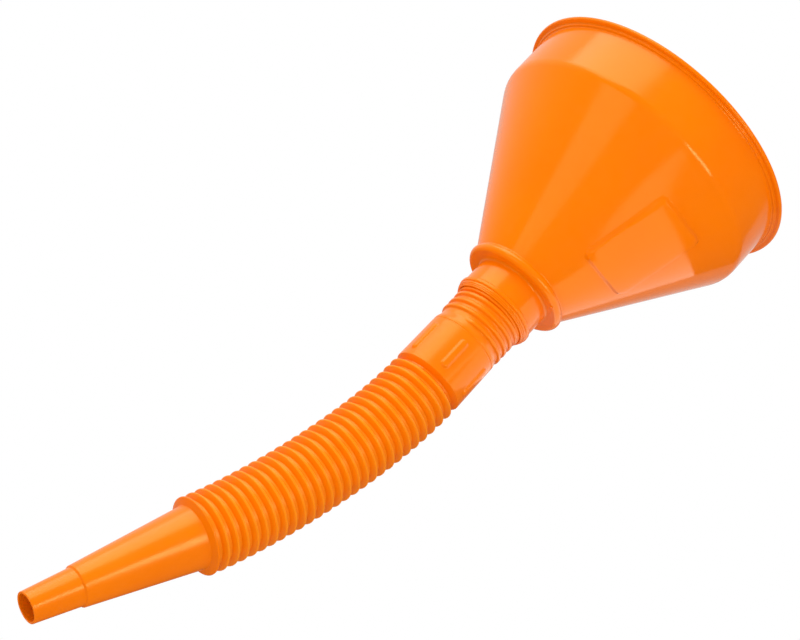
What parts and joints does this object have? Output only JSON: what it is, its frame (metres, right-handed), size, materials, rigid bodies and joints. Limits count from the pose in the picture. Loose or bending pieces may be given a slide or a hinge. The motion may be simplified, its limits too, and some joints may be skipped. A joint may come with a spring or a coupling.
{
  "type": "funnel with flexible spout",
  "caption": "Round moulded funnel with a raised label pad, a lift-out gauze strainer and a screw-on bellows spout that ends in a stepped nozzle.",
  "frame": {"origin": "centre of the mouth, in the plane of the rim's top face", "axes": "+Z along the bowl's axis out of the mouth, -X the way the spout curves at rest, +Y square to the spout's curve"},
  "size_m": [0.16, 0.16, 0.4096],
  "materials": {
    "bowl_plastic": "moulded orange polyethylene, glossy",
    "spout_plastic": "blow-moulded orange polyethylene, glossy",
    "brass_gauze": "woven wire, satin"
  },
  "bodies": {
    "bowl": {"bowl": "bowl_plastic"},
    "strainer": {"strainer_frame": "bowl_plastic", "strainer_gauze": "brass_gauze"},
    "spout_collar": {"spout_collar": "spout_plastic"},
    "ring_01": {"bellows_ring_01": "spout_plastic"},
    "ring_02": {"bellows_ring_02": "spout_plastic"},
    "ring_03": {"bellows_ring_03": "spout_plastic"},
    "ring_04": {"bellows_ring_04": "spout_plastic"},
    "ring_05": {"bellows_ring_05": "spout_plastic"},
    "ring_06": {"bellows_ring_06": "spout_plastic"},
    "ring_07": {"bellows_ring_07": "spout_plastic"},
    "ring_08": {"bellows_ring_08": "spout_plastic"},
    "ring_09": {"bellows_ring_09": "spout_plastic"},
    "ring_10": {"bellows_ring_10": "spout_plastic"},
    "ring_11": {"bellows_ring_11": "spout_plastic"},
    "ring_12": {"bellows_ring_12": "spout_plastic"},
    "ring_13": {"bellows_ring_13": "spout_plastic"},
    "ring_14": {"bellows_ring_14": "spout_plastic"},
    "ring_15": {"bellows_ring_15": "spout_plastic"},
    "ring_16": {"bellows_ring_16": "spout_plastic"},
    "ring_17": {"bellows_ring_17": "spout_plastic"},
    "ring_18": {"bellows_ring_18": "spout_plastic"},
    "ring_19": {"bellows_ring_19": "spout_plastic"},
    "ring_20": {"bellows_ring_20": "spout_plastic"},
    "ring_21": {"bellows_ring_21": "spout_plastic"},
    "ring_22": {"bellows_ring_22": "spout_plastic"},
    "ring_23": {"bellows_ring_23": "spout_plastic"},
    "ring_24": {"bellows_ring_24": "spout_plastic"},
    "ring_25": {"bellows_ring_25": "spout_plastic"},
    "ring_26": {"bellows_ring_26": "spout_plastic"},
    "nozzle": {"nozzle": "spout_plastic"}
  },
  "joints": [
    {"name": "strainer_lift", "type": "slide", "parent": "bowl", "child": "strainer", "axis": [0, 0, 1], "range_m": [0, 0.13]},
    {"name": "spout_turn", "type": "hinge", "parent": "bowl", "child": "spout_collar", "pos_m": [0, 0, -0.127], "axis": [0, 0, 1], "range_deg": [-180, 180]},
    {"name": "spout_bend", "type": "hinge", "parent": "spout_collar", "child": "ring_01", "pos_m": [0, 0, -0.1865], "axis": [0, 1, 0], "range_deg": [-5, 3.6]},
    {"name": "spout_sway", "type": "hinge", "parent": "ring_01", "child": "ring_02", "pos_m": [-0.00016, 0, -0.1919], "axis": [0.9991, 0, -0.0424], "range_deg": [-4.6, 4.6]},
    {"name": "bend_03", "type": "hinge", "parent": "ring_02", "child": "ring_03", "pos_m": [-0.00046, 0, -0.19729], "axis": [0, 1, 0], "range_deg": [-6.5, 4.7]},
    {"name": "sway_04", "type": "hinge", "parent": "ring_03", "child": "ring_04", "pos_m": [-0.00089, 0, -0.20267], "axis": [0.9958, 0, -0.0918], "range_deg": [-6, 6]},
    {"name": "bend_05", "type": "hinge", "parent": "ring_04", "child": "ring_05", "pos_m": [-0.00145, 0, -0.20804], "axis": [0, 1, 0], "range_deg": [-6.5, 4.7]},
    {"name": "sway_06", "type": "hinge", "parent": "ring_05", "child": "ring_06", "pos_m": [-0.00212, 0, -0.2134], "axis": [0.991, 0, -0.1338], "range_deg": [-6, 6]},
    {"name": "bend_07", "type": "hinge", "parent": "ring_06", "child": "ring_07", "pos_m": [-0.0029, 0, -0.21874], "axis": [0, 1, 0], "range_deg": [-6.5, 4.7]},
    {"name": "sway_08", "type": "hinge", "parent": "ring_07", "child": "ring_08", "pos_m": [-0.00377, 0, -0.22407], "axis": [0.9855, 0, -0.1695], "range_deg": [-6, 6]},
    {"name": "bend_09", "type": "hinge", "parent": "ring_08", "child": "ring_09", "pos_m": [-0.00473, 0, -0.22939], "axis": [0, 1, 0], "range_deg": [-6.5, 4.7]},
    {"name": "sway_10", "type": "hinge", "parent": "ring_09", "child": "ring_10", "pos_m": [-0.00577, 0, -0.23469], "axis": [0.9798, 0, -0.2001], "range_deg": [-6, 6]},
    {"name": "bend_11", "type": "hinge", "parent": "ring_10", "child": "ring_11", "pos_m": [-0.00689, 0, -0.23997], "axis": [0, 1, 0], "range_deg": [-6.5, 4.7]},
    {"name": "sway_12", "type": "hinge", "parent": "ring_11", "child": "ring_12", "pos_m": [-0.00808, 0, -0.24524], "axis": [0.974, 0, -0.2267], "range_deg": [-6, 6]},
    {"name": "bend_13", "type": "hinge", "parent": "ring_12", "child": "ring_13", "pos_m": [-0.00933, 0, -0.25049], "axis": [0, 1, 0], "range_deg": [-6.5, 4.7]},
    {"name": "sway_14", "type": "hinge", "parent": "ring_13", "child": "ring_14", "pos_m": [-0.01066, 0, -0.25572], "axis": [0.9681, 0, -0.2504], "range_deg": [-6, 6]},
    {"name": "bend_15", "type": "hinge", "parent": "ring_14", "child": "ring_15", "pos_m": [-0.01204, 0, -0.26094], "axis": [0, 1, 0], "range_deg": [-6.5, 4.7]},
    {"name": "sway_16", "type": "hinge", "parent": "ring_15", "child": "ring_16", "pos_m": [-0.01348, 0, -0.26615], "axis": [0.9622, 0, -0.2724], "range_deg": [-6, 6]},
    {"name": "bend_17", "type": "hinge", "parent": "ring_16", "child": "ring_17", "pos_m": [-0.01498, 0, -0.27134], "axis": [0, 1, 0], "range_deg": [-6.5, 4.7]},
    {"name": "sway_18", "type": "hinge", "parent": "ring_17", "child": "ring_18", "pos_m": [-0.01654, 0, -0.27651], "axis": [0.9559, 0, -0.2937], "range_deg": [-6, 6]},
    {"name": "bend_19", "type": "hinge", "parent": "ring_18", "child": "ring_19", "pos_m": [-0.01815, 0, -0.28166], "axis": [0, 1, 0], "range_deg": [-6.5, 4.7]},
    {"name": "sway_20", "type": "hinge", "parent": "ring_19", "child": "ring_20", "pos_m": [-0.01983, 0, -0.28679], "axis": [0.9489, 0, -0.3155], "range_deg": [-6, 6]},
    {"name": "bend_21", "type": "hinge", "parent": "ring_20", "child": "ring_21", "pos_m": [-0.02156, 0, -0.29191], "axis": [0, 1, 0], "range_deg": [-6.5, 4.7]},
    {"name": "sway_22", "type": "hinge", "parent": "ring_21", "child": "ring_22", "pos_m": [-0.02336, 0, -0.297], "axis": [0.9408, 0, -0.3388], "range_deg": [-6, 6]},
    {"name": "bend_23", "type": "hinge", "parent": "ring_22", "child": "ring_23", "pos_m": [-0.02522, 0, -0.30207], "axis": [0, 1, 0], "range_deg": [-6.5, 4.7]},
    {"name": "sway_24", "type": "hinge", "parent": "ring_23", "child": "ring_24", "pos_m": [-0.02715, 0, -0.30711], "axis": [0.9312, 0, -0.3646], "range_deg": [-6, 6]},
    {"name": "bend_25", "type": "hinge", "parent": "ring_24", "child": "ring_25", "pos_m": [-0.02916, 0, -0.31212], "axis": [0, 1, 0], "range_deg": [-6.5, 4.7]},
    {"name": "sway_26", "type": "hinge", "parent": "ring_25", "child": "ring_26", "pos_m": [-0.03124, 0, -0.31711], "axis": [0.9192, 0, -0.3938], "range_deg": [-6, 6]},
    {"name": "bend_27", "type": "hinge", "parent": "ring_26", "child": "nozzle", "pos_m": [-0.03341, 0, -0.32205], "axis": [0, 1, 0], "range_deg": [-6.5, 4.7]}
  ],
  "couplings": [
    {"joint": "bend_03", "follows": "spout_bend", "ratio": 1},
    {"joint": "sway_04", "follows": "spout_sway", "ratio": 1},
    {"joint": "bend_05", "follows": "spout_bend", "ratio": 1},
    {"joint": "sway_06", "follows": "spout_sway", "ratio": 1},
    {"joint": "bend_07", "follows": "spout_bend", "ratio": 1},
    {"joint": "sway_08", "follows": "spout_sway", "ratio": 1},
    {"joint": "bend_09", "follows": "spout_bend", "ratio": 1},
    {"joint": "sway_10", "follows": "spout_sway", "ratio": 1},
    {"joint": "bend_11", "follows": "spout_bend", "ratio": 1},
    {"joint": "sway_12", "follows": "spout_sway", "ratio": 1},
    {"joint": "bend_13", "follows": "spout_bend", "ratio": 1},
    {"joint": "sway_14", "follows": "spout_sway", "ratio": 1},
    {"joint": "bend_15", "follows": "spout_bend", "ratio": 1},
    {"joint": "sway_16", "follows": "spout_sway", "ratio": 1},
    {"joint": "bend_17", "follows": "spout_bend", "ratio": 1},
    {"joint": "sway_18", "follows": "spout_sway", "ratio": 1},
    {"joint": "bend_19", "follows": "spout_bend", "ratio": 1},
    {"joint": "sway_20", "follows": "spout_sway", "ratio": 1},
    {"joint": "bend_21", "follows": "spout_bend", "ratio": 1},
    {"joint": "sway_22", "follows": "spout_sway", "ratio": 1},
    {"joint": "bend_23", "follows": "spout_bend", "ratio": 1},
    {"joint": "sway_24", "follows": "spout_sway", "ratio": 1},
    {"joint": "bend_25", "follows": "spout_bend", "ratio": 1},
    {"joint": "sway_26", "follows": "spout_sway", "ratio": 1},
    {"joint": "bend_27", "follows": "spout_bend", "ratio": 1}
  ]
}
